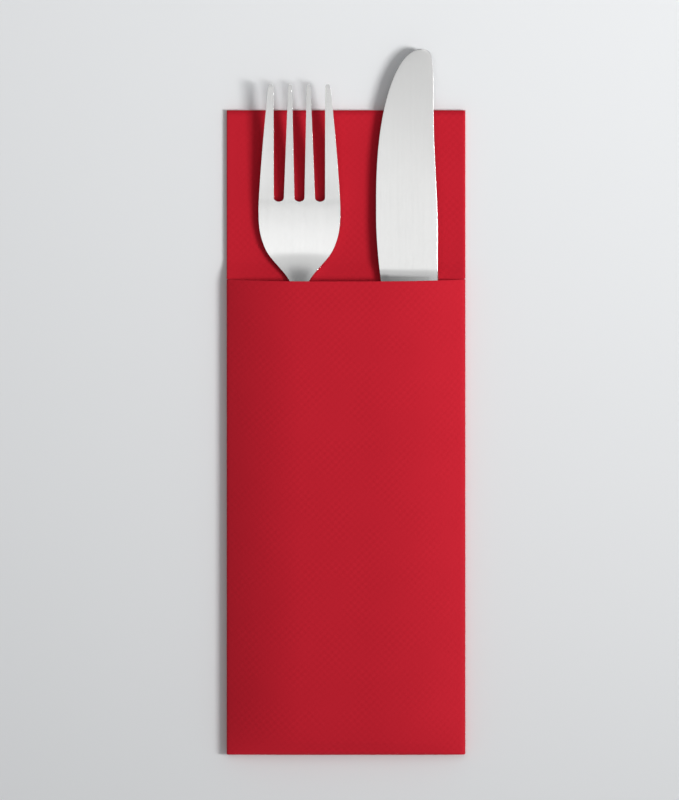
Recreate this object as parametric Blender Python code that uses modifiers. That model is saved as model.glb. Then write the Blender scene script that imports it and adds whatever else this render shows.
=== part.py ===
# A paper napkin folded into a pocket that holds a table fork and a table knife.
# Metres, +Z up. The napkin lies flat, with its closed end towards -Y and its mouth towards +Y.
# The origin is the middle of its underside.

import math

import bmesh
import bpy

OBJECT_NAME = "pocket_napkin"

# Napkin: one sheet, folded once across and twice lengthwise
POUCH_WIDTH = 0.083  # one panel of four
BACK_LENGTH = 0.224  # closed end to the top edge of the back
POCKET_DEPTH = 0.1645  # closed end to the mouth
SHEET_THICKNESS = 0.00035
LAYER_GAP = 0.00015  # air between two layers that lie on each other
FOLD_SQUARENESS = 2.8  # of all but the innermost folds, of which 2 is a round one
FREE_EDGE_INSET = 0.0008  # the sheet's two side edges stop short of the left fold
SETTLE_LENGTH = 0.012  # over which the back sinks once the front layers have ended
FLARE_LENGTH = 0.0010  # over which its side folds spread to the full width there
CLOSED_END_RISE = 0.0026  # how far the cutlery opens the fold at the closed end
CLOSED_END_LENGTH = 0.018  # over which the front rises from there to its full height
LEFT_SLOPE = 0.36  # at which the front leaves the left fold
FORK_SLOPE = 0.055  # and lies over the fork
RIGHT_SLOPE = 0.55  # and leaves the right fold
CROWN_RISE = 0.0011  # top of the front above its lift over the higher handle
CROWN_SHARE = 0.655  # where that top lies, on the way from the fork's axis to the knife's
MOUTH_BOW = 0.0006  # how far the lifted front draws the mouth back

# Cutlery in the pocket
REST_GAP = 0.0003  # clearance between the cutlery and the sheet
FORK_SIDE_DISTANCE = 0.0253  # left side of the pocket to the fork's axis
KNIFE_SIDE_DISTANCE = 0.0206  # right side of the pocket to the knife's axis
FORK_END_DISTANCE = 0.0328  # closed end to the end of the fork's handle
KNIFE_END_DISTANCE = 0.0152  # closed end to the end of the knife's handle

# Fork
FORK_BODY_LENGTH = 0.160  # end of the handle to the roots of the tines
FORK_HEAD_WIDTH = 0.0286
FORK_TIP_WIDTH = 0.0214  # across the outer tines at their tips
FORK_TIP_CURVE = 1.3  # power with which the head narrows to that
TINE_LENGTH = 0.040
TINE_TIP_ROUND = 0.0019  # length of a tine's rounded tip
SLOT_WIDTH = 0.0035  # between two tines at their root
SLOT_TIP_WIDTH = 0.0051
SLOT_SPACING = 0.0072  # between the middles of two slots at their root
SLOT_TIP_SPACING = 0.0064
HEAD_SHOULDER_LENGTH = 0.0275  # from the neck to the widest part of the head
HEAD_FLARE_LENGTH = 0.0155  # from the widest part back to the middle of the flare
HEAD_FLARE_WIDTH = 0.0209  # width of the head there
HEAD_FLARE_SLOPE = 0.72  # and slope of its sides
HEAD_WIDEST_TO_ROOT = 0.004
FORK_NECK_WIDTH = 0.0048
FORK_HANDLE_WIDTH = 0.0186
FORK_HANDLE_ROUND = 0.012  # length of the handle's rounded end
FORK_NECK_THICKNESS = 0.0026
FORK_HEAD_THICKNESS = 0.0019
FORK_HANDLE_THICKNESS = 0.0023
TINE_TIP_THICKNESS = 0.0013
FORK_ARCH_RISE = 0.00255  # underside of the neck above the underside of the handle's end
ARCH_TO_SHOULDER = 0.0115
BOWL_START = 0.0145  # from the shoulder to the flat bottom of the bowl
BOWL_DISH = 0.0011  # edges of the bowl above its middle
TINE_TIP_RISE = 0.0052  # tips above the bottom of the bowl
EDGE_THINNING = 0.30  # share of its thickness that the fork loses at its edges

# Knife
KNIFE_LENGTH = 0.230
KNIFE_HANDLE_LENGTH = 0.115
KNIFE_HANDLE_WIDTH = 0.0180
KNIFE_HANDLE_THICKNESS = 0.0046
KNIFE_HANDLE_ROUND = 0.012
KNIFE_NECK_WIDTH = 0.0116
KNIFE_NECK_THICKNESS = 0.0038
BLADE_EDGE_OFFSET = 0.0105  # cutting edge left of the knife's axis at its widest
SPINE_OFFSET = 0.0110  # back of the blade right of the axis, near the handle
SPINE_TIP_OFFSET = 0.00955  # and near the tip
BLADE_WIDEST = 0.172  # from the end of the handle
SPINE_SHOULDER = 0.030  # over which the spine leaves the neck
SPINE_TAPER_START = 0.1655
SPINE_TAPER_LENGTH = 0.043
BELLY_LENGTH = 0.0522  # curved end of the cutting edge
POINT_OFFSET = 0.0051  # the blade's end right of the axis
SPINE_ROUND = 0.0021  # rounded end of the spine
SPINE_LEAN = 0.0013  # how far the spine leans in before it
SPINE_LEAN_LENGTH = 0.012
BOLSTER_START = 0.138  # where the thick neck thins to the blade
BOLSTER_LENGTH = 0.015
SPINE_THICKNESS = 0.0018
POINT_THICKNESS = 0.0010  # of the spine at the blade's end
CUTTING_EDGE_THICKNESS = 0.0005
HANDLE_SQUARENESS = 2.4  # of the knife's section, of which 2 is an oval
BLADE_SQUARENESS = 10

# Fineness
FOLD_STEPS = 6
PANEL_STEPS = (3, 18, 3, 3)
FRONT_ROWS = (0, 0.02, 0.05, 0.09, 0.15, 0.24, 0.36, 0.5, 0.65, 0.8, 0.92, 1)
SETTLE_ROWS = 5
KNIFE_RING = 20

# Height of each panel in layers from the bottom: base panel, pocket panel and the two between them
FRONT_LEVELS = (0, 7, 4, 3)
BACK_LEVELS = (1, 6, 5, 2)
SETTLED_LEVELS = (0, 3, 2, 1)

LAYER_PITCH = SHEET_THICKNESS + LAYER_GAP
CLOSED_END = -BACK_LENGTH / 2
TOP_EDGE = BACK_LENGTH / 2
MOUTH = CLOSED_END + POCKET_DEPTH
FORK_X = FORK_SIDE_DISTANCE - POUCH_WIDTH / 2
KNIFE_X = POUCH_WIDTH / 2 - KNIFE_SIDE_DISTANCE
CROWN_X = FORK_X + (KNIFE_X - FORK_X) * CROWN_SHARE
FORK_LENGTH = FORK_BODY_LENGTH + TINE_LENGTH


def layer_height(level):
    return SHEET_THICKNESS / 2 + level * LAYER_PITCH


POCKET_FLOOR = layer_height(BACK_LEVELS[1]) + SHEET_THICKNESS / 2
SETTLED_FLOOR = layer_height(SETTLED_LEVELS[1]) + SHEET_THICKNESS / 2
HANDLE_REST = POCKET_FLOOR + REST_GAP


def clamp(value):
    return min(max(value, 0.0), 1.0)


def smooth(start, end, value):
    """0 before start, 1 after end, and an even rise between them."""
    share = clamp((value - start) / (end - start))
    return share * share * (3 - 2 * share)


def mix(first, second, share):
    return first + (second - first) * share


def even(start, end, steps):
    return [mix(start, end, step / steps) for step in range(steps + 1)]


def squared(angle, squareness):
    """Cosine and sine of a point on a rounded square with that squareness."""
    return [math.copysign(abs(part) ** (2 / squareness), part) for part in (math.cos(angle), math.sin(angle))]


# Napkin


def half_turn(centre_x, z_from, z_to, side):
    """Points (x, z) round a fold between two heights; side is 1 at the right edge and -1 at the left."""
    middle = (z_from + z_to) / 2
    radius = abs(z_to - z_from) / 2
    squareness = FOLD_SQUARENESS if radius > LAYER_PITCH else 2
    points = []
    for step in range(1, FOLD_STEPS):
        across, up = squared(math.pi * step / FOLD_STEPS, squareness)
        points.append((centre_x + side * radius * up, middle + (z_from - middle) * across))
    return points


def cross_section(levels, outer_levels):
    """Points (x, z) of one layer across the folded strip, from the base panel's free edge to the other."""
    z = [layer_height(level) for level in levels]
    outer = [layer_height(level) for level in outer_levels]
    half = (POUCH_WIDTH - SHEET_THICKNESS) / 2
    right = half - abs(outer[1] - outer[0]) / 2
    left = -half + abs(outer[1] - outer[2]) / 2
    free = -half + FREE_EDGE_INSET
    points = [(x, z[0]) for x in even(free, right, PANEL_STEPS[0])]
    points += half_turn(right, z[0], z[1], 1)
    points += [(x, z[1]) for x in even(right, left, PANEL_STEPS[1])]
    points += half_turn(left, z[1], z[2], -1)
    points += [(x, z[2]) for x in even(left, right, PANEL_STEPS[2])]
    points += half_turn(right, z[2], z[3], 1)
    points += [(x, z[3]) for x in even(right, free, PANEL_STEPS[3])]
    return points


def top_of_pocket(index):
    """Whether a point of the front layer's cross-section lies on the pocket's raised front."""
    first = PANEL_STEPS[0] + FOLD_STEPS // 2
    last = PANEL_STEPS[0] + FOLD_STEPS + PANEL_STEPS[1] + FOLD_STEPS // 2
    return first <= index <= last


def ridge_height(handle_top):
    """How far the front has to rise for a handle whose highest point is handle_top."""
    return handle_top + REST_GAP + SHEET_THICKNESS / 2 - layer_height(FRONT_LEVELS[1])


def bridge(start, end, x):
    """Height at x on a smooth curve between two places, each given as (x, height, slope)."""
    (x_start, z_start, slope_start), (x_end, z_end, slope_end) = start, end
    length = x_end - x_start
    share = (x - x_start) / length
    turn = slope_start * share * (1 - share) ** 2 - slope_end * share**2 * (1 - share)
    return mix(z_start, z_end, share * share * (3 - 2 * share)) + turn * length


def front_arch(x):
    """Height of the lifted front above its side folds, and its greatest height."""
    half = (POUCH_WIDTH - SHEET_THICKNESS) / 2
    over_fork = ridge_height(HANDLE_REST + FORK_ARCH_RISE + FORK_NECK_THICKNESS)
    over_knife = ridge_height(HANDLE_REST + KNIFE_HANDLE_THICKNESS)
    crown = max(over_fork, over_knife) + CROWN_RISE
    stops = [
        (-half, 0.0, LEFT_SLOPE),
        (FORK_X, over_fork, FORK_SLOPE),
        (CROWN_X, crown, 0.0),
        (half, 0.0, -RIGHT_SLOPE),
    ]
    part = (x > FORK_X) + (x > CROWN_X)
    return bridge(stops[part], stops[part + 1], x), crown


def front_rise(x, y):
    """How far the pocket's front is lifted over the cutlery."""
    height, crown = front_arch(x)
    share = 1 - (1 - clamp((y - CLOSED_END) / CLOSED_END_LENGTH)) ** 2
    return height * mix(CLOSED_END_RISE / crown, 1, share)


def back_row(y, flat, settled):
    sunk = smooth(MOUTH, MOUTH + SETTLE_LENGTH, y)
    spread = smooth(MOUTH, MOUTH + FLARE_LENGTH, y)
    return [
        (mix(x, x_low, spread), y, mix(z, z_low, sunk))
        for (x, z), (x_low, z_low) in zip(flat, settled)
    ]


def fold_row(angle, back, front):
    """One line of points round the fold at the closed end."""
    row = []
    for (x_back, z_back), (x_front, z_front) in zip(back, front):
        radius = math.hypot(x_front - x_back, z_front - z_back) / 2
        share = (1 - math.cos(angle)) / 2
        y = CLOSED_END + SHEET_THICKNESS / 2 + radius * (1 - math.sin(angle))
        row.append((mix(x_back, x_front, share), y, mix(z_back, z_front, share)))
    return row


def front_row(share, front, start):
    """One line of points of the front layer, at a share of the way from the closed end to the mouth."""
    row = []
    for index, ((x, z), (_, y_start, _)) in enumerate(zip(front, start)):
        height, crown = front_arch(x) if top_of_pocket(index) else (0.0, 1.0)
        y = mix(y_start, MOUTH - MOUTH_BOW * height / crown, share)
        rise = front_rise(x, y) if top_of_pocket(index) else 0.0
        row.append((x, y, z + rise))
    return row


def napkin_rows():
    """Lines of points across the sheet, from the top edge of the back round the closed end to the mouth."""
    front = cross_section(FRONT_LEVELS, FRONT_LEVELS)
    back = cross_section(BACK_LEVELS, FRONT_LEVELS)
    settled = cross_section(SETTLED_LEVELS, SETTLED_LEVELS)
    opened = [
        (x, z + (front_rise(x, CLOSED_END) if top_of_pocket(index) else 0.0))
        for index, (x, z) in enumerate(front)
    ]
    last = CLOSED_END + SHEET_THICKNESS / 2 + CLOSED_END_RISE
    sinking = even(MOUTH + SETTLE_LENGTH, MOUTH + FLARE_LENGTH, SETTLE_ROWS)
    ys = [TOP_EDGE] + sinking + even(MOUTH + FLARE_LENGTH, MOUTH, 2)[1:] + even(MOUTH, last, 3)[1:]
    rows = [back_row(y, back, settled) for y in ys]
    rows += [fold_row(math.pi * step / FOLD_STEPS, back, opened) for step in range(FOLD_STEPS + 1)]
    start = rows[-1]
    rows += [front_row(share, front, start) for share in FRONT_ROWS[1:]]
    return rows


# Fork, drawn along +Y from the end of its handle


def fork_places():
    """Places along the fork: top of the arch, neck, bottom of the bowl, widest point and slot roots."""
    widest = FORK_BODY_LENGTH - HEAD_WIDEST_TO_ROOT
    shoulder = widest - HEAD_SHOULDER_LENGTH
    return shoulder - ARCH_TO_SHOULDER, shoulder, shoulder + BOWL_START, widest, FORK_BODY_LENGTH


def back_top(y):
    """Top of the sheet under the cutlery."""
    return mix(POCKET_FLOOR, SETTLED_FLOOR, smooth(MOUTH, MOUTH + SETTLE_LENGTH, y))


def fork_half_width(y):
    arch, shoulder, _, widest, _ = fork_places()
    slimming = smooth(FORK_HANDLE_ROUND, arch, y)
    handle = mix(FORK_HANDLE_WIDTH, FORK_NECK_WIDTH, slimming) / 2
    if y < FORK_HANDLE_ROUND:
        handle *= math.sqrt(1 - (1 - mix(0.06, 1, y / FORK_HANDLE_ROUND)) ** 2)
    if y <= shoulder:
        return handle
    flare = (widest - HEAD_FLARE_LENGTH, HEAD_FLARE_WIDTH / 2, HEAD_FLARE_SLOPE)
    if y < flare[0]:
        return bridge((shoulder, FORK_NECK_WIDTH / 2, 0.0), flare, y)
    if y < widest:
        return bridge(flare, (widest, FORK_HEAD_WIDTH / 2, 0.0), y)
    taper = ((y - widest) / (FORK_LENGTH - widest)) ** FORK_TIP_CURVE
    return mix(FORK_HEAD_WIDTH, FORK_TIP_WIDTH, taper) / 2


def fork_thickness(y):
    arch, _, bowl, _, root = fork_places()
    handle = mix(FORK_HANDLE_THICKNESS, FORK_NECK_THICKNESS, smooth(0, arch, y))
    head = mix(handle, FORK_HEAD_THICKNESS, smooth(arch, bowl, y))
    return mix(head, TINE_TIP_THICKNESS, clamp((y - root) / TINE_LENGTH))


def fork_underside(y):
    arch, _, bowl, _, root = fork_places()
    bowl_rest = back_top(CLOSED_END + FORK_END_DISTANCE + bowl) + REST_GAP
    if y < arch:
        return HANDLE_REST + FORK_ARCH_RISE * smooth(0, arch, y)
    if y < bowl:
        return mix(HANDLE_REST + FORK_ARCH_RISE, bowl_rest, smooth(arch, bowl, y))
    bend = root - bowl
    straight = FORK_LENGTH - bowl - bend / 2
    past = y - bowl
    lift = past**2 / (2 * bend) if past < bend else past - bend / 2
    return bowl_rest + TINE_TIP_RISE * lift / straight


def fork_dish(x, y):
    """Height of the bowl's hollow at x, above its middle."""
    _, shoulder, bowl, _, root = fork_places()
    deep = smooth(shoulder, bowl, y) * (1 - smooth(root, FORK_LENGTH, y))
    return BOWL_DISH * deep * (2 * x / FORK_HEAD_WIDTH) ** 2


def fork_columns(y):
    """Places across half the fork: middle, inner tine's two sides, middle of the slot, outer tine's two sides."""
    root = fork_places()[-1]
    outer = fork_half_width(y)
    along = clamp((y - root) / TINE_LENGTH)
    slot = mix(SLOT_WIDTH, SLOT_TIP_WIDTH, along) / 2
    middle = mix(SLOT_SPACING, SLOT_TIP_SPACING, along)
    squeeze = outer / fork_half_width(root) if y < root else 1.0
    places = [place * squeeze for place in (0.0, slot, middle - slot, middle, middle + slot)] + [outer]
    past = clamp(1 - (FORK_LENGTH - y) / TINE_TIP_ROUND)
    narrow = 1 - math.sqrt(1 - (0.9 * past) ** 2)
    for left in (1, 4):
        centre = (places[left] + places[left + 1]) / 2
        places[left] = mix(places[left], centre, narrow)
        places[left + 1] = mix(places[left + 1], centre, narrow)
    return places


def fork_stations():
    arch, shoulder, bowl, widest, root = fork_places()
    handle = [0.0, FORK_HANDLE_ROUND * 0.3, FORK_HANDLE_ROUND] + even(FORK_HANDLE_ROUND, arch, 5)[1:]
    throat = even(arch, shoulder, 2)[1:] + even(shoulder, bowl, 4)[1:]
    throat += [mix(bowl, widest, 0.6), root - SLOT_WIDTH * 0.75]
    slots = [root, root + SLOT_WIDTH * 0.55]
    tines = even(root, FORK_LENGTH - TINE_TIP_ROUND, 4)[1:]
    return handle + throat + slots + tines + [FORK_LENGTH - TINE_TIP_ROUND * 0.45, FORK_LENGTH]


def fork_cage():
    """Half of the fork's middle surface, open along its axis, with the slots left out."""
    root = fork_places()[-1]
    grid = bmesh.new()
    weight = grid.verts.layers.deform.verify()
    rows = []
    for y in fork_stations():
        row = []
        for column, x in enumerate(fork_columns(y)):
            in_slot = column in (0, 3) and abs(y - root) < 1e-9
            place = y - SLOT_WIDTH / 4 if in_slot else y
            thickness = fork_thickness(place) * (1 - EDGE_THINNING * (x / fork_half_width(place)) ** 2)
            height = fork_underside(place) + fork_thickness(place) / 2 + fork_dish(x, place)
            vert = grid.verts.new((x, place, height))
            vert[weight][0] = thickness / FORK_NECK_THICKNESS
            row.append(vert)
        rows.append((y, row))
    for (y_low, low), (_, high) in zip(rows, rows[1:]):
        tines = (1, 4) if y_low > root - 1e-9 else range(len(low) - 1)
        for k in tines:
            grid.faces.new((low[k], low[k + 1], high[k + 1], high[k]))
    loose = [vert for vert in grid.verts if not vert.link_faces]
    bmesh.ops.delete(grid, geom=loose, context="VERTS")
    return grid


# Knife, drawn along +Y from the end of its handle


def knife_sides(y):
    """Left and right edge of the knife at y."""
    slimming = smooth(KNIFE_HANDLE_ROUND, KNIFE_HANDLE_LENGTH, y)
    handle = mix(KNIFE_HANDLE_WIDTH, KNIFE_NECK_WIDTH, slimming) / 2
    if y < KNIFE_HANDLE_ROUND:
        handle *= math.sqrt(1 - (1 - mix(0.03, 1, y / KNIFE_HANDLE_ROUND)) ** 2)
    left = -mix(handle, BLADE_EDGE_OFFSET, smooth(KNIFE_HANDLE_LENGTH, BLADE_WIDEST, y))
    leave = smooth(KNIFE_HANDLE_LENGTH, KNIFE_HANDLE_LENGTH + SPINE_SHOULDER, y)
    taper = smooth(SPINE_TAPER_START, SPINE_TAPER_START + SPINE_TAPER_LENGTH, y)
    right = mix(handle, mix(SPINE_OFFSET, SPINE_TIP_OFFSET, taper), leave)
    belly = clamp((y - KNIFE_LENGTH + BELLY_LENGTH) / BELLY_LENGTH)
    left += (POINT_OFFSET + BLADE_EDGE_OFFSET) * (1 - math.sqrt(1 - belly**2.2))
    right -= SPINE_LEAN * clamp((y - KNIFE_LENGTH + SPINE_LEAN_LENGTH) / SPINE_LEAN_LENGTH) ** 2
    corner = clamp((y - KNIFE_LENGTH + SPINE_ROUND) / SPINE_ROUND)
    right -= (SPINE_TIP_OFFSET - SPINE_LEAN - POINT_OFFSET) * (1 - math.sqrt(1 - corner**2))
    return left, right


def knife_middle(y):
    """Height of the knife's middle plane, which dips towards the blade because the handle lies on its underside."""
    dip = (KNIFE_HANDLE_THICKNESS - KNIFE_NECK_THICKNESS) / 2
    share = (y - KNIFE_HANDLE_ROUND) / (KNIFE_HANDLE_LENGTH - KNIFE_HANDLE_ROUND)
    return HANDLE_REST + KNIFE_HANDLE_THICKNESS / 2 - dip * share


def knife_section(y):
    """Ring of points at y: an oval at the handle that turns into a wedge along the blade."""
    left, right = knife_sides(y)
    blade = smooth(BOLSTER_START, BOLSTER_START + BOLSTER_LENGTH, y)
    taper = clamp((y - KNIFE_HANDLE_ROUND) / (KNIFE_HANDLE_LENGTH - KNIFE_HANDLE_ROUND))
    handle = mix(KNIFE_HANDLE_THICKNESS, KNIFE_NECK_THICKNESS, taper)
    if y < KNIFE_HANDLE_ROUND:
        handle *= (1 - (1 - mix(0.1, 1, y / KNIFE_HANDLE_ROUND)) ** 2) ** 0.25
    spine = mix(SPINE_THICKNESS, POINT_THICKNESS, smooth(BLADE_WIDEST, KNIFE_LENGTH, y))
    squareness = 1 / mix(1 / HANDLE_SQUARENESS, 1 / BLADE_SQUARENESS, blade)
    middle = knife_middle(y)
    ring = []
    for step in range(KNIFE_RING):
        across, up = squared(2 * math.pi * (step + 0.5) / KNIFE_RING, squareness)
        wedge = mix(CUTTING_EDGE_THICKNESS, spine, (across + 1) / 2)
        height = mix(handle, wedge, blade) / 2
        ring.append((mix(left, right, (across + 1) / 2), y, middle + up * height))
    return ring


def knife_stations():
    """Places along the knife, closer together where its outline turns."""
    belly = KNIFE_LENGTH - BELLY_LENGTH
    butt = [KNIFE_HANDLE_ROUND * share for share in (0, 0.06, 0.18, 0.36, 0.6)]
    handle = even(KNIFE_HANDLE_ROUND, KNIFE_HANDLE_LENGTH, 6)
    shoulder = even(KNIFE_HANDLE_LENGTH, BOLSTER_START, 3)[1:]
    shoulder += even(BOLSTER_START, BOLSTER_START + BOLSTER_LENGTH, 5)[1:]
    shoulder += even(BOLSTER_START + BOLSTER_LENGTH, BLADE_WIDEST, 2)[1:]
    curve = [belly + BELLY_LENGTH * math.sin(math.pi / 2 * step / 14) for step in range(14)]
    end = KNIFE_LENGTH - SPINE_ROUND
    corner = [end + SPINE_ROUND * share for share in (0.5, 0.75, 0.9, 0.985)]
    places = butt + handle + shoulder + [y for y in curve if y < end] + [end] + corner
    return sorted(places)


def knife_loft():
    grid = bmesh.new()
    rings = [[grid.verts.new(point) for point in knife_section(y)] for y in knife_stations()]
    for low, high in zip(rings, rings[1:]):
        for k in range(KNIFE_RING):
            following = (k + 1) % KNIFE_RING
            grid.faces.new((low[k], high[k], high[following], low[following]))
    grid.faces.new(rings[0])
    grid.faces.new(list(reversed(rings[-1])))
    return grid


# Assembly


def clear_scene():
    for existing in list(bpy.data.objects):
        bpy.data.objects.remove(existing, do_unlink=True)


def make_material(name, colour, roughness, metallic):
    material = bpy.data.materials.new(name)
    material.use_nodes = True
    shader = material.node_tree.nodes["Principled BSDF"]
    shader.inputs["Base Color"].default_value = (*colour, 1)
    shader.inputs["Roughness"].default_value = roughness
    shader.inputs["Metallic"].default_value = metallic
    return material


def add_object(name, grid, material, collection):
    bmesh.ops.recalc_face_normals(grid, faces=grid.faces)
    mesh = bpy.data.meshes.new(name)
    grid.to_mesh(mesh)
    grid.free()
    mesh.materials.append(material)
    mesh.shade_smooth()
    mesh.set_sharp_from_angle(angle=math.radians(40))
    piece = bpy.data.objects.new(name, mesh)
    collection.objects.link(piece)
    return piece


def add_solidify(piece, thickness):
    solid = piece.modifiers.new("thickness", "SOLIDIFY")
    solid.thickness = thickness
    solid.offset = 0
    return solid


def make_napkin(material, collection):
    grid = bmesh.new()
    rows = [[grid.verts.new(point) for point in row] for row in napkin_rows()]
    for low, high in zip(rows, rows[1:]):
        for k in range(len(low) - 1):
            grid.faces.new((low[k], low[k + 1], high[k + 1], high[k]))
    napkin = add_object("napkin", grid, material, collection)
    solid = add_solidify(napkin, SHEET_THICKNESS)
    solid.use_even_offset = True
    solid.use_quality_normals = True
    return napkin


def make_fork(material, collection):
    fork = add_object("fork", fork_cage(), material, collection)
    group = fork.vertex_groups.new(name="thickness")
    mirror = fork.modifiers.new("other_half", "MIRROR")
    mirror.merge_threshold = 0.00001
    solid = add_solidify(fork, FORK_NECK_THICKNESS)
    solid.vertex_group = group.name
    solid.edge_crease_inner = 0.6
    solid.edge_crease_outer = 0.6
    rounding = fork.modifiers.new("rounding", "SUBSURF")
    rounding.levels = 1
    rounding.render_levels = 1
    fork.location = (FORK_X, CLOSED_END + FORK_END_DISTANCE, 0)
    return fork


def make_knife(material, collection):
    knife = add_object("knife", knife_loft(), material, collection)
    knife.location = (KNIFE_X, CLOSED_END + KNIFE_END_DISTANCE, 0)
    return knife


def build():
    clear_scene()
    collection = bpy.data.collections.new(OBJECT_NAME)
    bpy.context.scene.collection.children.link(collection)
    paper = make_material("red_paper", (0.51, 0.018, 0.032), 0.9, 0)
    steel = make_material("satin_steel", (0.72, 0.72, 0.71), 0.3, 1)
    make_napkin(paper, collection)
    make_fork(steel, collection)
    make_knife(steel, collection)


build()
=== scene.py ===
import math

import bmesh
import bpy
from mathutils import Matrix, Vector, noise


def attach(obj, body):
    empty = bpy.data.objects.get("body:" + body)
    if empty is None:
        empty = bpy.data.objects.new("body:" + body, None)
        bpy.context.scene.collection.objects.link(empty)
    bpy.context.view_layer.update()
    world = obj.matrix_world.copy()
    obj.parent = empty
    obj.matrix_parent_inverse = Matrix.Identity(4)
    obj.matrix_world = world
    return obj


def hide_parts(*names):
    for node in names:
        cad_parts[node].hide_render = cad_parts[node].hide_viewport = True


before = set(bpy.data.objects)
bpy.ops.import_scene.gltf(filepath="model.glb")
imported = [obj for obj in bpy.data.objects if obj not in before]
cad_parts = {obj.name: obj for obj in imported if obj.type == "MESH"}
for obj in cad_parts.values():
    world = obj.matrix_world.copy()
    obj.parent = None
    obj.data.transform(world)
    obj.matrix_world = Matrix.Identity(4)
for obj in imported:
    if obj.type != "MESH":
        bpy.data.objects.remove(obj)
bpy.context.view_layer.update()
print("frame loaded:", ", ".join(sorted(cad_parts)))

mm = 0.001
samePlace = 1e-9  # two places nearer than this are one
noiseSpread = (0.3, 0.7)  # nearly all values of a noise lie between these


# Small helpers

def clamp(value):
    return min(max(value, 0.0), 1.0)


def smooth(start, end, value):  # 0 before start, 1 after end, an even rise between
    share = clamp((value - start) / (end - start))
    return share * share * (3 - 2 * share)


def mix(first, second, share):
    return first + (second - first) * share


def even(start, end, steps):
    return [mix(start, end, step / steps) for step in range(steps + 1)]


def squared(angle, squareness):  # cosine and sine of a point on a rounded square
    return [math.copysign(abs(part) ** (2 / squareness), part) for part in (math.cos(angle), math.sin(angle))]


# Shader helpers: a small wrapper that adds nodes and joins them

def newGroup(name, inputs, outputs):
    group = bpy.data.node_groups.new(name, "ShaderNodeTree")
    for label, kind, default in inputs:
        socket = group.interface.new_socket(name=label, in_out="INPUT", socket_type=kind)
        if default is not None:
            socket.default_value = default
    for label, kind in outputs:
        group.interface.new_socket(name=label, in_out="OUTPUT", socket_type=kind)
    tree = group.nodes
    return group, tree.new("NodeGroupInput"), tree.new("NodeGroupOutput")


def join(tree, source, target):
    tree.links.new(source, target)


def setSocket(tree, socket, value):
    if isinstance(value, bpy.types.NodeSocket):
        tree.links.new(value, socket)
    else:
        socket.default_value = value


def calc(tree, operation, *values, clampIt=False):
    node = tree.nodes.new("ShaderNodeMath")
    node.operation = operation
    node.use_clamp = clampIt
    for socket, value in zip(node.inputs, values):
        setSocket(tree, socket, value)
    return node.outputs[0]


def remap(tree, value, low, high, newLow, newHigh):
    node = tree.nodes.new("ShaderNodeMapRange")
    for label, item in (("Value", value), ("From Min", low), ("From Max", high),
                        ("To Min", newLow), ("To Max", newHigh)):
        setSocket(tree, node.inputs[label], item)
    return node.outputs[0]


def noiseOf(tree, vector, scale, detail=2.0, roughness=0.5):
    node = tree.nodes.new("ShaderNodeTexNoise")
    setSocket(tree, node.inputs["Vector"], vector)
    setSocket(tree, node.inputs["Scale"], scale)
    setSocket(tree, node.inputs["Detail"], detail)
    setSocket(tree, node.inputs["Roughness"], roughness)
    return node.outputs["Fac"]


def scaled(tree, vector, scale):
    node = tree.nodes.new("ShaderNodeVectorMath")
    node.operation = "MULTIPLY"
    setSocket(tree, node.inputs[0], vector)
    setSocket(tree, node.inputs[1], scale)
    return node.outputs[0]


def blendColour(tree, share, first, second):  # inputs 6 and 7 and output 2 are the colour ones
    node = tree.nodes.new("ShaderNodeMix")
    node.data_type = "RGBA"
    setSocket(tree, node.inputs[0], share)
    setSocket(tree, node.inputs[6], first)
    setSocket(tree, node.inputs[7], second)
    return node.outputs[2]


def bump(tree, height, depth, strength=1.0, under=None):
    node = tree.nodes.new("ShaderNodeBump")
    setSocket(tree, node.inputs["Strength"], strength)
    setSocket(tree, node.inputs["Distance"], depth)
    setSocket(tree, node.inputs["Height"], height)
    if under is not None:
        setSocket(tree, node.inputs["Normal"], under)
    return node.outputs[0]


def placeGroup(tree, group, values):
    node = tree.nodes.new("ShaderNodeGroup")
    node.node_tree = group
    for label, value in values.items():
        setSocket(tree, node.inputs[label], value)
    return node


def newMaterial(name, metallic=0.0):
    material = bpy.data.materials.new(name)
    material.use_nodes = True
    shader = material.node_tree.nodes["Principled BSDF"]
    shader.inputs["Metallic"].default_value = metallic
    return material, material.node_tree, shader


# Shader groups: the mottle is in paper and steel, the streaks are in both steels, the emboss is in the paper

def makeMottle():
    # soft uneven patches over fine grain, from 0 to 1
    group, start, end = newGroup(
        "softMottle",
        [("Vector", "NodeSocketVector", None), ("Patch Scale", "NodeSocketFloat", 60.0),
         ("Grain Scale", "NodeSocketFloat", 1500.0), ("Grain Share", "NodeSocketFloat", 0.4)],
        [("Mask", "NodeSocketFloat"), ("Grain", "NodeSocketFloat")],
    )
    patch = noiseOf(group, start.outputs["Vector"], start.outputs["Patch Scale"], detail=3.0, roughness=0.55)
    grain = noiseOf(group, start.outputs["Vector"], start.outputs["Grain Scale"], detail=3.0, roughness=0.6)
    rest = calc(group, "SUBTRACT", 1.0, start.outputs["Grain Share"])
    both = calc(group, "ADD", calc(group, "MULTIPLY", patch, rest),
                calc(group, "MULTIPLY", grain, start.outputs["Grain Share"]))
    join(group, both, end.inputs["Mask"])
    join(group, grain, end.inputs["Grain"])
    return group


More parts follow.
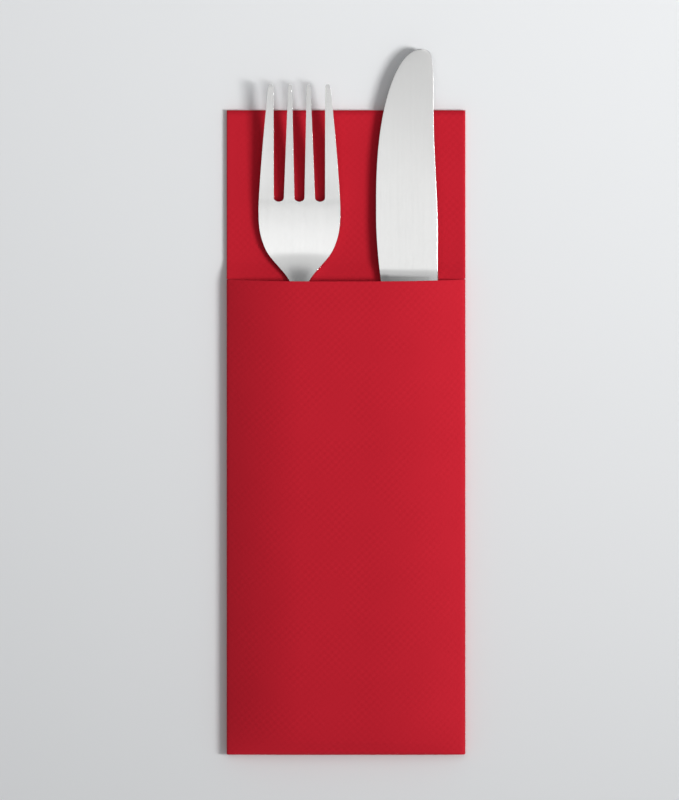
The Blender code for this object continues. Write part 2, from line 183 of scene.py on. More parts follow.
def makeStreaks():
    # fine parallel lines left by polishing, from 0 to 1
    group, start, end = newGroup(
        "polishStreaks",
        [("Vector", "NodeSocketVector", None), ("Across", "NodeSocketFloat", 9000.0),
         ("Along", "NodeSocketFloat", 60.0)],
        [("Mask", "NodeSocketFloat"), ("Height", "NodeSocketFloat")],
    )
    broadScale = 0.18  # of the broad lines, against the fine ones
    fineShare = 0.65
    parts = group.nodes.new("ShaderNodeCombineXYZ")
    join(group, start.outputs["Across"], parts.inputs[0])
    join(group, start.outputs["Along"], parts.inputs[1])
    join(group, start.outputs["Along"], parts.inputs[2])
    stretched = scaled(group, start.outputs["Vector"], parts.outputs[0])
    fine = noiseOf(group, stretched, 1.0, detail=4.0, roughness=0.6)
    broad = noiseOf(group, stretched, broadScale, detail=2.0, roughness=0.5)
    height = calc(group, "ADD", calc(group, "MULTIPLY", fine, fineShare),
                  calc(group, "MULTIPLY", broad, 1 - fineShare))
    join(group, remap(group, height, *noiseSpread, 0.0, 1.0), end.inputs["Mask"])
    join(group, height, end.inputs["Height"])
    return group


def makeEmboss():
    # staggered rows of soft points pressed into the paper, fainter in some patches than in others;
    # the vector is the flat sheet's plan in metres
    group, start, end = newGroup(
        "pointEmboss",
        [("Vector", "NodeSocketVector", None), ("Pitch", "NodeSocketFloat", 0.0026)],
        [("Height", "NodeSocketFloat")],
    )
    patchScale = 95.0
    patchSpread = (0.38, 0.62)  # noise values where the points are faintest and deepest
    faintest = 0.25
    split = group.nodes.new("ShaderNodeSeparateXYZ")
    join(group, start.outputs["Vector"], split.inputs[0])
    turns = calc(group, "DIVIDE", 2 * math.pi, start.outputs["Pitch"])
    first = calc(group, "COSINE", calc(group, "MULTIPLY", split.outputs[0], turns))
    second = calc(group, "COSINE", calc(group, "MULTIPLY", split.outputs[1], turns))
    lattice = calc(group, "MULTIPLY", first, second)
    patches = noiseOf(group, start.outputs["Vector"], patchScale, detail=2.0, roughness=0.5)
    patch = remap(group, patches, *patchSpread, faintest, 1.0)
    join(group, calc(group, "MULTIPLY", lattice, patch), end.inputs["Height"])
    return group


mottleGroup = makeMottle()
streakGroup = makeStreaks()
embossGroup = makeEmboss()
print("shader groups made")


# Napkin: one sheet, folded once across and twice lengthwise

napkin = dict(
    width=83.0 * mm, backLength=224.0 * mm, pocketDepth=165.2 * mm,
    thickness=0.35 * mm, layerGap=0.15 * mm, freeInset=0.8 * mm, foldSquareness=2.8,
    settleLength=7.0 * mm, flareLength=0.4 * mm,
    closedRise=3.6 * mm, closedLength=18.0 * mm,
    leftSlope=0.49, forkSlope=0.03, rightSlope=0.49, forkCushion=1.0 * mm,
    crownRise=1.1 * mm, crownShare=0.655, mouthBow=0.8 * mm,
    foldSteps=12, panelSteps=(20, 72, 20, 20), frontRows=110, backRows=23, hiddenRows=30,
    settleRows=14, flareRows=8, lipRows=8,
    plainRowsTo=1.3, lipRowsFrom=1.2,  # in lip lengths before the mouth
    lipLength=1.6 * mm, lipDrop=0.10 * mm,  # the pressed lip at the mouth
    ripple=0.10 * mm, rippleSize=26.0 * mm, calmEdge=8.0 * mm,  # soft unevenness of the lifted front
    smoothAngle=60,
    # the paper's own tone varies at random between these two colours; the painted emboss shade also mixes
    # towards the darker one
    colour=(0.563, 0.0127, 0.0280, 1), shade=(0.498, 0.0100, 0.0225, 1),
    roughness=(0.72, 0.86), specular=0.1, sheen=0.05, sheenRoughness=0.45,
    patchScale=55.0, grainScale=1700.0, fibreDepth=0.016 * mm, fibreStrength=0.6,
    # the emboss's pitch and relief depth, then how strongly it paints shade into the colour of its hollows
    # and light onto its points
    embossPitch=2.64 * mm, embossDepth=0.031 * mm, paintedEmbossShade=0.25,
)
frontLevels, backLevels, settledLevels = (0, 7, 4, 3), (1, 6, 5, 2), (0, 3, 2, 1)

cutlery = dict(
    restGap=0.3 * mm, forkSide=25.3 * mm, knifeSide=20.6 * mm,
    forkEnd=32.8 * mm, knifeEnd=15.2 * mm,
)

closedEnd = -napkin["backLength"] / 2
topEdge = napkin["backLength"] / 2
mouth = closedEnd + napkin["pocketDepth"]
forkX = cutlery["forkSide"] - napkin["width"] / 2
knifeX = napkin["width"] / 2 - cutlery["knifeSide"]
crownX = mix(forkX, knifeX, napkin["crownShare"])
halfWidth = (napkin["width"] - napkin["thickness"]) / 2


def layerHeight(level):
    return napkin["thickness"] / 2 + level * (napkin["thickness"] + napkin["layerGap"])


pocketFloor = layerHeight(backLevels[1]) + napkin["thickness"] / 2
settledFloor = layerHeight(settledLevels[1]) + napkin["thickness"] / 2
handleRest = pocketFloor + cutlery["restGap"]

fork = dict(
    length=200.0 * mm, headWidth=28.6 * mm, tipWidth=21.4 * mm, tipCurve=1.3,
    tineLength=40.0 * mm, tipRound=1.4 * mm,
    slotWidth=3.5 * mm, slotTipWidth=5.1 * mm, slotSpacing=7.2 * mm, slotTipSpacing=6.4 * mm,
    shoulderLength=27.5 * mm, flareLength=15.5 * mm, flareWidth=20.9 * mm, flareSlope=0.72,
    widestToRoot=4.0 * mm, neckWidth=4.8 * mm,
    handleWidth=18.6 * mm, handleRound=12.0 * mm, neckThickness=2.6 * mm,
    headThickness=1.9 * mm, handleThickness=2.3 * mm, tipThickness=1.3 * mm,
    archRise=2.55 * mm, archToShoulder=11.5 * mm, bowlStart=14.5 * mm, bowlDish=0.4 * mm,
    rootSlope=0.096, tineCurve=1.6, edgeThinning=0.12, crease=1.0, levels=3, mergeGap=0.01 * mm,
    edgeRound=0.2 * mm, edgeSegments=2, edgeAngle=35,
    buttWidth=0.06, tipNarrowing=0.92,  # how blunt the handle's end is, and how far the tines narrow
    buttRow=0.3, handleRows=5, throatRows=3, bowlRows=7, headRows=(0.35, 0.7),
    slotRound=0.25, slotRows=(-0.75, 0, 0.3, 0.7), tineRows=8, tipRows=(0.6, 0.3, 0.12, 0),
    bright=(0.78, 0.78, 0.775, 1), dull=(0.735, 0.735, 0.73, 1),
)

knife = dict(
    length=230.0 * mm, handleLength=115.0 * mm, handleWidth=18.0 * mm, handleThickness=4.6 * mm,
    handleRound=12.0 * mm, neckWidth=11.6 * mm, neckThickness=3.8 * mm,
    edgeOffset=10.5 * mm, spineOffset=11.0 * mm, spineTipOffset=9.55 * mm, widest=172.0 * mm,
    spineShoulder=30.0 * mm, taperStart=165.5 * mm, taperLength=43.0 * mm, bellyLength=52.2 * mm,
    bolsterStart=146.0 * mm, bolsterLength=7.6 * mm, spineLean=1.3 * mm, leanLength=12.0 * mm,
    pointOffset=5.1 * mm, spineRound=2.1 * mm, handleSquareness=2.4, bladeSquareness=14,
    spineThickness=1.8 * mm, pointThickness=1.0 * mm, edgeThickness=0.5 * mm,
    buttWidth=0.03, buttEdge=0.1, buttFullness=0.25, bellyFullness=2.2,
    ring=56, alongStep=1.6 * mm, buttRows=(0, 0.02, 0.06, 0.12, 0.2, 0.3, 0.42, 0.56, 0.7, 0.85),
    tipSteps=60, tipRows=57, pointRows=(0.012, 0.006, 0.0025), pointGap=0.02 * mm, smoothAngle=50,
    bright=(0.705, 0.705, 0.70, 1), dull=(0.66, 0.66, 0.655, 1),
)


def halfTurn(centreX, zFrom, zTo, side):
    middle, radius = (zFrom + zTo) / 2, abs(zTo - zFrom) / 2
    innermost = radius <= napkin["thickness"] + napkin["layerGap"]
    squareness = 2 if innermost else napkin["foldSquareness"]
    points = []
    for step in range(1, napkin["foldSteps"]):
        across, up = squared(math.pi * step / napkin["foldSteps"], squareness)
        points.append((centreX + side * radius * up, middle + (zFrom - middle) * across))
    return points


def crossSection(levels, outerLevels):
    # one layer across the folded strip, from the base panel's free edge to the other
    z = [layerHeight(level) for level in levels]
    outer = [layerHeight(level) for level in outerLevels]
    right = halfWidth - abs(outer[1] - outer[0]) / 2
    left = -halfWidth + abs(outer[1] - outer[2]) / 2
    free = -halfWidth + napkin["freeInset"]
    steps = napkin["panelSteps"]
    points = [(x, z[0]) for x in even(free, right, steps[0])]
    points += halfTurn(right, z[0], z[1], 1)
    points += [(x, z[1]) for x in even(right, left, steps[1])]
    points += halfTurn(left, z[1], z[2], -1)
    points += [(x, z[2]) for x in even(left, right, steps[2])]
    points += halfTurn(right, z[2], z[3], 1)
    points += [(x, z[3]) for x in even(right, free, steps[3])]
    return points


def onPocketTop(index):
    first = napkin["panelSteps"][0] + napkin["foldSteps"] // 2
    last = first + napkin["foldSteps"] + napkin["panelSteps"][1]
    return first <= index <= last


def ridgeHeight(handleTop):
    return handleTop + cutlery["restGap"] + napkin["thickness"] / 2 - layerHeight(frontLevels[1])


def bridge(start, end, x):
    (xStart, zStart, slopeStart), (xEnd, zEnd, slopeEnd) = start, end
    length = xEnd - xStart
    share = (x - xStart) / length
    turn = slopeStart * share * (1 - share) ** 2 - slopeEnd * share**2 * (1 - share)
    return mix(zStart, zEnd, share * share * (3 - 2 * share)) + turn * length


overFork = ridgeHeight(handleRest + fork["archRise"] + fork["neckThickness"])
overKnife = ridgeHeight(handleRest + knife["handleThickness"])
crown = max(overFork, overKnife) + napkin["crownRise"]
archStops = [
    (-halfWidth, 0.0, napkin["leftSlope"]),
    (forkX, overFork + napkin["forkCushion"], napkin["forkSlope"]),
    (crownX, crown, 0.0),
    (halfWidth, 0.0, -napkin["rightSlope"]),
]


def frontArch(x):
    part = (x > forkX) + (x > crownX)
    return bridge(archStops[part], archStops[part + 1], x)


def frontRise(x, y):
    share = 1 - (1 - clamp((y - closedEnd) / napkin["closedLength"])) ** 2
    return frontArch(x) * mix(napkin["closedRise"] / crown, 1, share)


def frontDetail(x, y):
    # soft unevenness away from the folds, and the pressed lip at the mouth
    calm = napkin["calmEdge"]
    inside = smooth(0, calm, halfWidth - abs(x)) * smooth(0, calm, y - closedEnd)
    wave = noise.noise(Vector((x, y, 0)) / napkin["rippleSize"])
    past = clamp((y - (mouth - napkin["lipLength"])) / napkin["lipLength"])
    return napkin["ripple"] * wave * inside - napkin["lipDrop"] * past**2


def backRow(y, flat, settled):
    sunk = smooth(mouth, mouth + napkin["settleLength"], y)
    spread = smooth(mouth, mouth + napkin["flareLength"], y)
    return [(mix(x, xLow, spread), y, mix(z, zLow, sunk)) for (x, z), (xLow, zLow) in zip(flat, settled)]


def foldRow(angle, back, front):
    row = []
    for (xBack, zBack), (xFront, zFront) in zip(back, front):
        radius = math.hypot(xFront - xBack, zFront - zBack) / 2
        share = (1 - math.cos(angle)) / 2
        y = closedEnd + napkin["thickness"] / 2 + radius * (1 - math.sin(angle))
        row.append((mix(xBack, xFront, share), y, mix(zBack, zFront, share)))
    return row


def frontRow(share, front, start):
    row = []
    for index, ((x, z), (_, yStart, _)) in enumerate(zip(front, start)):
        lifted = onPocketTop(index)
        bow = napkin["mouthBow"] * frontArch(x) / crown if lifted else 0.0
        y = mix(yStart, mouth - bow, share)
        row.append((x, y, z + (frontRise(x, y) + frontDetail(x, y + bow) if lifted else 0.0)))
    return row


def napkinRows():
    front = crossSection(frontLevels, frontLevels)
    back = crossSection(backLevels, frontLevels)
    settled = crossSection(settledLevels, settledLevels)
    opened = [(x, z + (frontRise(x, closedEnd) if onPocketTop(index) else 0.0))
              for index, (x, z) in enumerate(front)]
    last = closedEnd + napkin["thickness"] / 2 + napkin["closedRise"]
    settledEnd, flareEnd = mouth + napkin["settleLength"], mouth + napkin["flareLength"]
    ys = even(topEdge, settledEnd, napkin["backRows"])
    ys += even(settledEnd, flareEnd, napkin["settleRows"])[1:]
    ys += even(flareEnd, mouth, napkin["flareRows"])[1:] + even(mouth, last, napkin["hiddenRows"])[1:]
    rows = [backRow(y, back, settled) for y in ys]
    steps = napkin["foldSteps"]
    rows += [foldRow(math.pi * step / steps, back, opened) for step in range(steps + 1)]
    start = rows[-1]
    count = napkin["frontRows"]
    shares = [step / count for step in range(1, count)]
    lip = napkin["lipLength"] / napkin["pocketDepth"]
    shares = [share for share in shares if share < 1 - napkin["plainRowsTo"] * lip]
    shares += even(1 - napkin["lipRowsFrom"] * lip, 1, napkin["lipRows"])
    rows += [frontRow(share, front, start) for share in shares]
    return rows


def flatPlan(rows):
    # plan of every point on the unfolded sheet, in metres: distance across and along it
    across, along = [], []
    for row in rows:
        steps = [math.dist(a, b) for a, b in zip(row, row[1:])]
        across.append([sum(steps[:k]) for k in range(len(row))])
    for k in range(len(rows[0])):
        length, column = 0.0, [0.0]
        for low, high in zip(rows, rows[1:]):
            length += math.dist(low[k], high[k])
            column.append(length)
        along.append(column)
    return [[(across[j][k], along[k][j]) for k in range(len(rows[0]))] for j in range(len(rows))]


def meshObject(name, grid, material, smoothAngle=40):
    bmesh.ops.recalc_face_normals(grid, faces=grid.faces)
    mesh = bpy.data.meshes.new(name)
    grid.to_mesh(mesh)
    grid.free()
    mesh.materials.append(material)
    mesh.shade_smooth()
    mesh.set_sharp_from_angle(angle=math.radians(smoothAngle))
    piece = bpy.data.objects.new(name, mesh)
    bpy.context.scene.collection.objects.link(piece)
    return piece


def paperMaterial():
    material, tree, shader = newMaterial("redPaper")
    plan = tree.nodes.new("ShaderNodeUVMap")
    plan.uv_map = "flatPlan"
    sheet = plan.outputs[0]
    mottle = placeGroup(tree, mottleGroup, {"Vector": sheet, "Patch Scale": napkin["patchScale"],
                                            "Grain Scale": napkin["grainScale"]})
    emboss = placeGroup(tree, embossGroup, {"Vector": sheet, "Pitch": napkin["embossPitch"]})
    # painted light and shade: the emboss height also shifts the paper colour, darker in its hollows and
    # lighter on its points, in place of the relief's shading
    paintedEmbossShading = calc(tree, "MULTIPLY", emboss.outputs["Height"], -napkin["paintedEmbossShade"])
    share = calc(tree, "ADD", mottle.outputs["Mask"], paintedEmbossShading, clampIt=True)
    # the mix holds the random mottle, the paper's own tone, together with the painted emboss shade
    join(tree, blendColour(tree, share, napkin["colour"], napkin["shade"]), shader.inputs["Base Color"])
    grain = mottle.outputs["Grain"]
    join(tree, remap(tree, grain, *noiseSpread, *napkin["roughness"]), shader.inputs["Roughness"])
    fibre = bump(tree, grain, napkin["fibreDepth"], napkin["fibreStrength"])
    points = bump(tree, emboss.outputs["Height"], napkin["embossDepth"], under=fibre)
    join(tree, points, shader.inputs["Normal"])
    shader.inputs["Sheen Weight"].default_value = napkin["sheen"]
    shader.inputs["Sheen Roughness"].default_value = napkin["sheenRoughness"]
    shader.inputs["Specular IOR Level"].default_value = napkin["specular"]
    return material


def makeNapkin():
    rows = napkinRows()
    plan = flatPlan(rows)
    grid = bmesh.new()
    layer = grid.loops.layers.uv.new("flatPlan")
    verts = [[grid.verts.new(point) for point in row] for row in rows]
    for j, (low, high) in enumerate(zip(verts, verts[1:])):
        for k in range(len(low) - 1):
            face = grid.faces.new((low[k], low[k + 1], high[k + 1], high[k]))
            for loop, (row, column) in zip(face.loops, ((j, k), (j, k + 1), (j + 1, k + 1), (j + 1, k))):
                loop[layer].uv = plan[row][column]
    piece = meshObject("foldedNapkin", grid, paperMaterial(), napkin["smoothAngle"])
    solid = piece.modifiers.new("paperThickness", "SOLIDIFY")
    solid.thickness = napkin["thickness"]
    solid.offset = 0
    solid.use_even_offset = True
    solid.use_quality_normals = True
    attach(piece, "root")
    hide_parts("napkin")
    return piece


napkinPiece = makeNapkin()
print("napkin folded:", len(napkinPiece.data.polygons), "faces")


# Steel of the fork and the knife

steel = dict(
    streaksAcross=5200.0, streaksAlong=60.0, streakDepth=0.004 * mm, streakStrength=0.06,
    streakShare=0.3,  # of the dullness, the rest comes from the patches
    patchScale=70.0, grainScale=900.0,
    dullness=(0.2, 0.8), roughness=(0.18, 0.23),  # the roughness rises with the dullness
)


def steelMaterial(name, bright, dull):
    material, tree, shader = newMaterial(name, metallic=1.0)
    place = tree.nodes.new("ShaderNodeTexCoord").outputs["Object"]
    streaks = placeGroup(tree, streakGroup, {"Vector": place, "Across": steel["streaksAcross"],
                                             "Along": steel["streaksAlong"]})
    mottle = placeGroup(tree, mottleGroup, {"Vector": place, "Patch Scale": steel["patchScale"],
                                            "Grain Scale": steel["grainScale"]})
    share = calc(tree, "ADD", calc(tree, "MULTIPLY", streaks.outputs["Mask"], steel["streakShare"]),
                 calc(tree, "MULTIPLY", mottle.outputs["Mask"], 1 - steel["streakShare"]), clampIt=True)
    join(tree, blendColour(tree, share, bright, dull), shader.inputs["Base Color"])
    join(tree, remap(tree, share, *steel["dullness"], *steel["roughness"]), shader.inputs["Roughness"])
    lines = bump(tree, streaks.outputs["Height"], steel["streakDepth"], steel["streakStrength"])
    join(tree, lines, shader.inputs["Normal"])
    return material


# Fork, drawn along +Y from the end of its handle

def backTop(y):
    return mix(pocketFloor, settledFloor, smooth(mouth, mouth + napkin["settleLength"], y))


def forkPlaces():
    root = fork["length"] - fork["tineLength"]
    widest = root - fork["widestToRoot"]
    shoulder = widest - fork["shoulderLength"]
    return shoulder - fork["archToShoulder"], shoulder, shoulder + fork["bowlStart"], widest, root


def forkHalfWidth(y):
    arch, shoulder, _, widest, _ = forkPlaces()
    handle = mix(fork["handleWidth"], fork["neckWidth"], smooth(fork["handleRound"], arch, y)) / 2
    if y < fork["handleRound"]:
        handle *= math.sqrt(1 - (1 - mix(fork["buttWidth"], 1, y / fork["handleRound"])) ** 2)
    if y <= shoulder:
        return handle
    flare = (widest - fork["flareLength"], fork["flareWidth"] / 2, fork["flareSlope"])
    if y < flare[0]:
        return bridge((shoulder, fork["neckWidth"] / 2, 0.0), flare, y)
    if y < widest:
        return bridge(flare, (widest, fork["headWidth"] / 2, 0.0), y)
    taper = ((y - widest) / (fork["length"] - widest)) ** fork["tipCurve"]
    return mix(fork["headWidth"], fork["tipWidth"], taper) / 2


def forkThickness(y):
    arch, _, bowl, _, root = forkPlaces()
    handle = mix(fork["handleThickness"], fork["neckThickness"], smooth(0, arch, y))
    head = mix(handle, fork["headThickness"], smooth(arch, bowl, y))
    return mix(head, fork["tipThickness"], clamp((y - root) / fork["tineLength"]))


def forkUnderside(y):
    arch, _, bowl, _, root = forkPlaces()
    bowlRest = backTop(closedEnd + cutlery["forkEnd"] + bowl) + cutlery["restGap"]
    if y < arch:
        return handleRest + fork["archRise"] * smooth(0, arch, y)
    if y < bowl:
        return mix(handleRest + fork["archRise"], bowlRest, smooth(arch, bowl, y))
    bend = root - bowl
    past = y - bowl
    slope = fork["rootSlope"] * min(past / bend, 1)
    lift = slope * past / 2 if past < bend else fork["rootSlope"] * (past - bend / 2)
    return bowlRest + lift + fork["tineCurve"] * max(past - bend, 0) ** 2 / 2


def forkDish(x, y):
    _, shoulder, bowl, _, root = forkPlaces()
    deep = smooth(shoulder, bowl, y) * (1 - smooth(root, fork["length"], y))
    return fork["bowlDish"] * deep * (2 * x / fork["headWidth"]) ** 2


tineColumns = (1, 4)  # the left column of each tine of the right half
slotColumns = (0, 3)  # the middle column of each slot


def forkColumns(y):
    root = forkPlaces()[-1]
    outer = forkHalfWidth(y)
    along = clamp((y - root) / fork["tineLength"])
    slot = mix(fork["slotWidth"], fork["slotTipWidth"], along) / 2
    middle = mix(fork["slotSpacing"], fork["slotTipSpacing"], along)
    squeeze = outer / forkHalfWidth(root) if y < root else 1.0
    places = [place * squeeze for place in (0.0, slot, middle - slot, middle, middle + slot)] + [outer]
    past = clamp(1 - (fork["length"] - y) / fork["tipRound"])
    narrow = 1 - math.sqrt(1 - (fork["tipNarrowing"] * past) ** 2)
    for left in tineColumns:
        centre = (places[left] + places[left + 1]) / 2
        places[left] = mix(places[left], centre, narrow)
        places[left + 1] = mix(places[left + 1], centre, narrow)
    return places


def forkStations():
    arch, shoulder, bowl, widest, root = forkPlaces()
    butt = [0.0, fork["handleRound"] * fork["buttRow"], fork["handleRound"]]
    handle = even(fork["handleRound"], arch, fork["handleRows"])[1:]
    throat = even(arch, shoulder, fork["throatRows"])[1:] + even(shoulder, bowl, fork["bowlRows"])[1:]
    head = [mix(bowl, widest, share) for share in fork["headRows"]]
    slots = [root + fork["slotWidth"] * share for share in fork["slotRows"]]
    tines = even(root, fork["length"] - fork["tipRound"], fork["tineRows"])[2:]
    tips = [fork["length"] - fork["tipRound"] * gap for gap in fork["tipRows"]]
    return butt + handle + throat + head + slots + tines + tips


def forkCage():
    root = forkPlaces()[-1]
    grid = bmesh.new()
    weight = grid.verts.layers.deform.verify()
    rows = []
    for y in forkStations():
        row = []
        for column, x in enumerate(forkColumns(y)):
            inSlot = column in slotColumns and abs(y - root) < samePlace
            place = y - fork["slotWidth"] * fork["slotRound"] if inSlot else y
            thin = 1 - fork["edgeThinning"] * (x / forkHalfWidth(place)) ** 2
            height = forkUnderside(place) + forkThickness(place) / 2 + forkDish(x, place)
            vert = grid.verts.new((x, place, height))
            vert[weight][0] = forkThickness(place) * thin / fork["neckThickness"]
            row.append(vert)
        rows.append((y, row))
    for (yLow, low), (_, high) in zip(rows, rows[1:]):
        tines = tineColumns if yLow > root - samePlace else range(len(low) - 1)
        for k in tines:
            grid.faces.new((low[k], low[k + 1], high[k + 1], high[k]))
    loose = [vert for vert in grid.verts if not vert.link_faces]
    bmesh.ops.delete(grid, geom=loose, context="VERTS")
    return grid


def makeFork():
    piece = meshObject("tableFork", forkCage(), steelMaterial("forkSteel", fork["bright"], fork["dull"]))
    group = piece.vertex_groups.new(name="thickness")
    mirror = piece.modifiers.new("otherHalf", "MIRROR")
    mirror.merge_threshold = fork["mergeGap"]
    solid = piece.modifiers.new("steelThickness", "SOLIDIFY")
    solid.thickness = fork["neckThickness"]
    solid.offset = 0
    solid.vertex_group = group.name
    solid.edge_crease_inner = fork["crease"]
    solid.edge_crease_outer = fork["crease"]
    rounding = piece.modifiers.new("rounding", "SUBSURF")
    rounding.levels = fork["levels"]
    rounding.render_levels = fork["levels"]
    bevel = piece.modifiers.new("softEdge", "BEVEL")
    bevel.width = fork["edgeRound"]
    bevel.segments = fork["edgeSegments"]
    bevel.limit_method = "ANGLE"
    bevel.angle_limit = math.radians(fork["edgeAngle"])
    bevel.harden_normals = True
    piece.location = (forkX, closedEnd + cutlery["forkEnd"], 0)
    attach(piece, "root")
    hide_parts("fork")
    return piece


forkPiece = makeFork()
print("fork shaped")


# Knife, drawn along +Y from the end of its handle

def knifeSides(y):
    waist = smooth(knife["handleRound"], knife["handleLength"], y)
    handle = mix(knife["handleWidth"], knife["neckWidth"], waist) / 2
    if y < knife["handleRound"]:
        handle *= math.sqrt(1 - (1 - mix(knife["buttWidth"], 1, y / knife["handleRound"])) ** 2)
    left = -mix(handle, knife["edgeOffset"], smooth(knife["handleLength"], knife["widest"], y))
    leave = smooth(knife["handleLength"], knife["handleLength"] + knife["spineShoulder"], y)
    taper = smooth(knife["taperStart"], knife["taperStart"] + knife["taperLength"], y)
    right = mix(handle, mix(knife["spineOffset"], knife["spineTipOffset"], taper), leave)
    belly = clamp((y - knife["length"] + knife["bellyLength"]) / knife["bellyLength"])
    curve = 1 - math.sqrt(max(0, 1 - belly ** knife["bellyFullness"]))
    left += (knife["pointOffset"] + knife["edgeOffset"]) * curve
    lean = clamp((y - knife["length"] + knife["leanLength"]) / knife["leanLength"])
    right -= knife["spineLean"] * lean**2
    corner = clamp((y - knife["length"] + knife["spineRound"]) / knife["spineRound"])
    inset = knife["spineTipOffset"] - knife["spineLean"] - knife["pointOffset"]
    right -= inset * (1 - math.sqrt(max(0, 1 - corner**2)))
    return left, right


def knifeMiddle(y):
    dip = (knife["handleThickness"] - knife["neckThickness"]) / 2
    share = (y - knife["handleRound"]) / (knife["handleLength"] - knife["handleRound"])
    return handleRest + knife["handleThickness"] / 2 - dip * share


def knifeSection(y):
    left, right = knifeSides(y)
    blade = smooth(knife["bolsterStart"], knife["bolsterStart"] + knife["bolsterLength"], y)
    taper = clamp((y - knife["handleRound"]) / (knife["handleLength"] - knife["handleRound"]))
    handle = mix(knife["handleThickness"], knife["neckThickness"], taper)
    if y < knife["handleRound"]:
        butt = mix(knife["buttEdge"], 1, y / knife["handleRound"])
        handle *= (1 - (1 - butt) ** 2) ** knife["buttFullness"]
    thinned = smooth(knife["widest"], knife["length"], y)
    spine = mix(knife["spineThickness"], knife["pointThickness"], thinned)
    flat = smooth(knife["bolsterStart"] - knife["bolsterLength"], knife["bolsterStart"], y)
    squareness = 1 / mix(1 / knife["handleSquareness"], 1 / knife["bladeSquareness"], flat)
    ring = []
    for step in range(knife["ring"]):
        across, up = squared(2 * math.pi * (step + 0.5) / knife["ring"], squareness)
        share = (across + 1) / 2
        thickness = mix(handle, mix(knife["edgeThickness"], spine, share), blade)
        ring.append((mix(left, right, share), y, knifeMiddle(y) + up * thickness / 2))
    return ring


def knifeStations():
    butt = [knife["handleRound"] * share for share in knife["buttRows"]]
    curveStart = knife["length"] - knife["bellyLength"]
    count = round((curveStart - knife["handleRound"]) / knife["alongStep"])
    body = even(knife["handleRound"], curveStart, count)
    turns = [math.pi / 2 * step / knife["tipSteps"] for step in range(1, knife["tipRows"] + 1)]
    tip = [curveStart + knife["bellyLength"] * math.sin(turn) for turn in turns]
    end = [knife["length"] - knife["spineRound"] * gap for gap in knife["pointRows"]]
    return butt + body + [y for y in tip if y < end[0] - knife["pointGap"]] + end


def makeKnife():
    grid = bmesh.new()
    count = knife["ring"]
    rings = [[grid.verts.new(point) for point in knifeSection(y)] for y in knifeStations()]
    for low, high in zip(rings, rings[1:]):
        for k in range(count):
            following = (k + 1) % count
            grid.faces.new((low[k], high[k], high[following], low[following]))
    grid.faces.new(rings[0])
    grid.faces.new(list(reversed(rings[-1])))
    material = steelMaterial("knifeSteel", knife["bright"], knife["dull"])
    piece = meshObject("tableKnife", grid, material, knife["smoothAngle"])
    piece.location = (knifeX, closedEnd + cutlery["knifeEnd"], 0)
    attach(piece, "root")
    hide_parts("knife")
    return piece


knifePiece = makeKnife()
print("knife shaped:", len(knifePiece.data.polygons), "faces")


# Floor, lights and camera

stage = dict(
    floorSize=6.0, floorDrop=0.02 * mm,
    floorColour=(0.793, 0.803, 0.813, 1), floorRoughness=0.85, floorSpecular=0.2,
)


def makeFloor():
    half = stage["floorSize"] / 2
    grid = bmesh.new()
    corners = ((-half, -half), (half, -half), (half, half), (-half, half))
    grid.faces.new([grid.verts.new((x, y, 0)) for x, y in corners])
    material, _, shader = newMaterial("paleFloor")
    shader.inputs["Base Color"].default_value = stage["floorColour"]
    shader.inputs["Roughness"].default_value = stage["floorRoughness"]
    shader.inputs["Specular IOR Level"].default_value = stage["floorSpecular"]
    floor = meshObject("floor", grid, material)
    floor.location.z = -stage["floorDrop"]
    return floor


lamps = dict(
    keyLamp=dict(place=(1.05, -0.08, 1.21), target=(0.05, 0.44, 0), size=(0.29, 0.58),
                 radiance=8.2, spread=76),
    topLamp=dict(place=(0.0, 0.063, 0.5), target=(0, 0.063, 0), size=(0.5, 0.142), radiance=1.15),
    backLamp=dict(place=(0.0, 0.213, 0.5), target=(0, 0.213, 0), size=(0.5, 0.158), radiance=0.66),
)


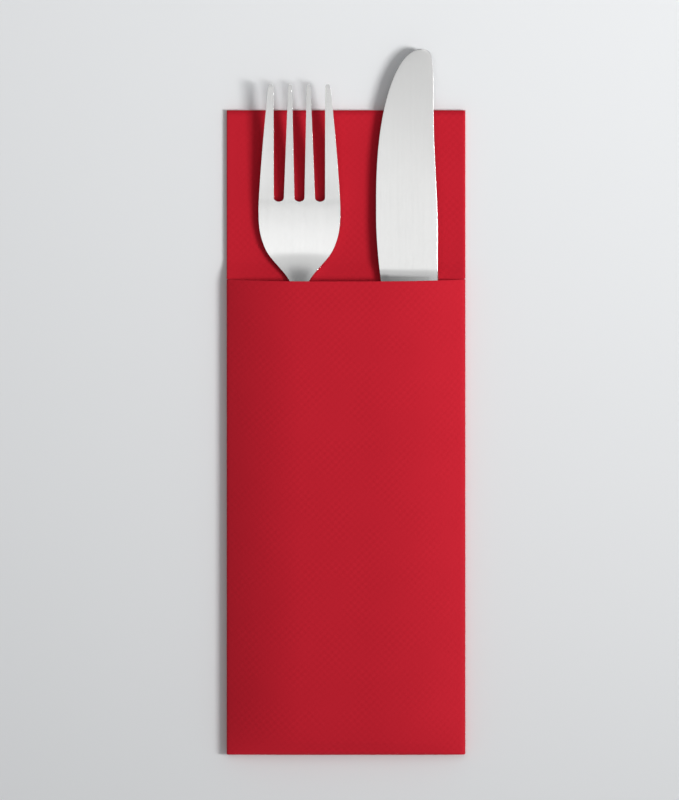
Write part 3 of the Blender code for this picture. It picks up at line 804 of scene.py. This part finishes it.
def addLamp(name, place, target, size, radiance, spread=180):
    # the lamp's power follows from its radiance and size; at full spread a radiance of 1 looks white,
    # and a narrower spread looks several times brighter along its middle
    light = bpy.data.lights.new(name, "AREA")
    light.shape = "RECTANGLE"
    light.size, light.size_y = size
    light.energy = radiance * math.pi * size[0] * size[1]
    light.spread = math.radians(spread)
    lamp = bpy.data.objects.new(name, light)
    lamp.location = place
    lamp.rotation_euler = (Vector(target) - Vector(place)).to_track_quat("-Z", "Y").to_euler()
    lamp.visible_camera = False
    bpy.context.scene.collection.objects.link(lamp)
    return lamp


room = dict(
    horizon=0.41, towardsRight=0.15, towardsTop=-0.10, overhead=0.12,
    wallTop=0.55, ceiling=0.95,  # the z of the directions where the walls end and the ceiling begins
    colour=(0.97, 0.985, 1.0, 1),
)


def makeWorld():
    # a soft room: the walls are lighter to the right and towards the closed end, the ceiling is dark
    world = bpy.data.worlds.new("softRoom")
    world.use_nodes = True
    tree = world.node_tree
    direction = tree.nodes.new("ShaderNodeTexCoord").outputs["Generated"]
    split = tree.nodes.new("ShaderNodeSeparateXYZ")
    join(tree, direction, split.inputs[0])
    x, y, z = split.outputs
    low = calc(tree, "ADD", calc(tree, "MULTIPLY_ADD", x, room["towardsRight"], room["horizon"]),
               calc(tree, "MULTIPLY", y, room["towardsTop"]))
    background = tree.nodes["Background"]
    background.inputs["Color"].default_value = room["colour"]
    strength = remap(tree, z, room["wallTop"], room["ceiling"], low, room["overhead"])
    join(tree, strength, background.inputs["Strength"])
    bpy.context.scene.world = world


view = dict(
    pixel=0.3475 * mm,  # one pixel of the picture, at the object
    pictureWidth=679, pictureHeight=800, pouchX=346.05, pouchY=432.4,  # in pixels from the top left
    distance=3.0, sharpHeight=4.0 * mm, sensor=36, farEnd=20,
)


def makeCamera():
    camera = bpy.data.cameras.new("camera")
    camera.sensor_width = view["sensor"]
    camera.lens = camera.sensor_width * view["distance"] / (view["pictureHeight"] * view["pixel"])
    camera.clip_end = view["farEnd"]
    body = bpy.data.objects.new("camera", camera)
    x = (view["pictureWidth"] / 2 - view["pouchX"]) * view["pixel"]
    y = (view["pouchY"] - view["pictureHeight"] / 2) * view["pixel"]
    body.location = (x, y, view["distance"] + view["sharpHeight"])
    bpy.context.scene.collection.objects.link(body)
    bpy.context.scene.camera = body


makeFloor()
makeWorld()
for lampName, lampValues in lamps.items():
    addLamp(lampName, **lampValues)
makeCamera()
scene = bpy.context.scene
scene.view_settings.view_transform = "Standard"
print("stage set")
